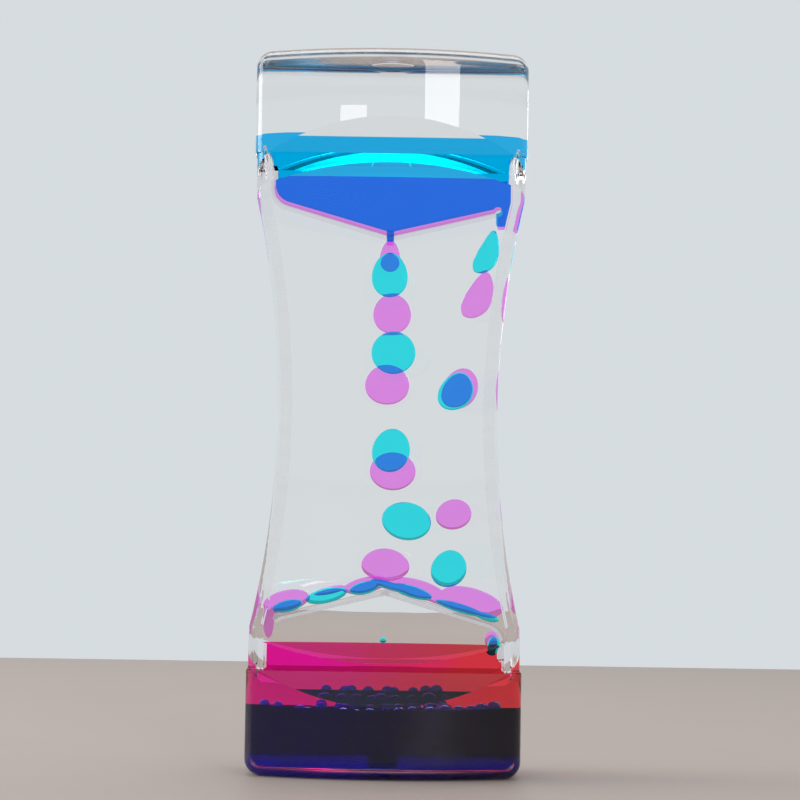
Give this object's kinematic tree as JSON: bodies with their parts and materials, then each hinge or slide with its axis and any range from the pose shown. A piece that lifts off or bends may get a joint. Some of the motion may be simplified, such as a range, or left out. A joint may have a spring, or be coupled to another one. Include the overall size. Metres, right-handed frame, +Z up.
{
  "type": "liquid motion timer",
  "caption": "Clear waisted desk timer whose two chambers let blue and pink water fall in drops through oil over inner ramps; turned over to start again.",
  "frame": {"origin": "middle of the flat base face, where the timer stands", "axes": "+Z up towards the other end cup, +X to the right across the width, front window towards -Y"},
  "size_m": [0.051, 0.033, 0.135],
  "materials": {
    "clear_acrylic": "clear, polished",
    "clear_ramp": "clear, polished",
    "blue_water": "clear dyed water",
    "pink_water": "clear dyed water"
  },
  "bodies": {
    "timer": {"front_shell": "clear_acrylic", "rear_shell": "clear_acrylic", "divider_plate": "clear_acrylic", "top_cup": "clear_acrylic", "bottom_cup": "clear_acrylic", "top_filler_plug": "clear_acrylic", "bottom_filler_plug": "clear_acrylic", "upper_front_ramp": "clear_ramp", "upper_rear_ramp": "clear_ramp", "lower_front_ramp": "clear_ramp", "lower_rear_ramp": "clear_ramp", "upper_blue_liquid": "blue_water", "lower_blue_liquid": "blue_water", "blue_puddles": "blue_water", "blue_release_drop": "blue_water", "blue_landing_drop": "blue_water", "upper_pink_liquid": "pink_water", "lower_pink_liquid": "pink_water", "pink_puddles": "pink_water", "pink_hanging_drop": "pink_water", "pink_release_drop": "pink_water", "pink_landing_drop": "pink_water"},
    "blue_centre_stream": {"blue_centre_drop_1": "blue_water", "blue_centre_drop_2": "blue_water", "blue_centre_drop_3": "blue_water", "blue_centre_drop_4": "blue_water"},
    "blue_side_stream": {"blue_side_drop_1": "blue_water"},
    "pink_centre_stream": {"pink_centre_drop_1": "pink_water", "pink_centre_drop_2": "pink_water", "pink_centre_drop_3": "pink_water"},
    "pink_side_stream": {"pink_side_drop_1": "pink_water", "pink_side_drop_2": "pink_water"}
  },
  "joints": [
    {"name": "blue_centre_stream_fall", "type": "slide", "parent": "timer", "child": "blue_centre_stream", "axis": [0, 0, -1], "range_m": [-0.001, 0.006]},
    {"name": "blue_side_stream_fall", "type": "slide", "parent": "timer", "child": "blue_side_stream", "axis": [0, 0, -1], "range_m": [-0.016, 0.025]},
    {"name": "pink_centre_stream_fall", "type": "slide", "parent": "timer", "child": "pink_centre_stream", "axis": [0, 0, -1], "range_m": [-0.004, 0.009]},
    {"name": "pink_side_stream_fall", "type": "slide", "parent": "timer", "child": "pink_side_stream", "axis": [0, 0, -1], "range_m": [-0.009, 0.009]}
  ]
}
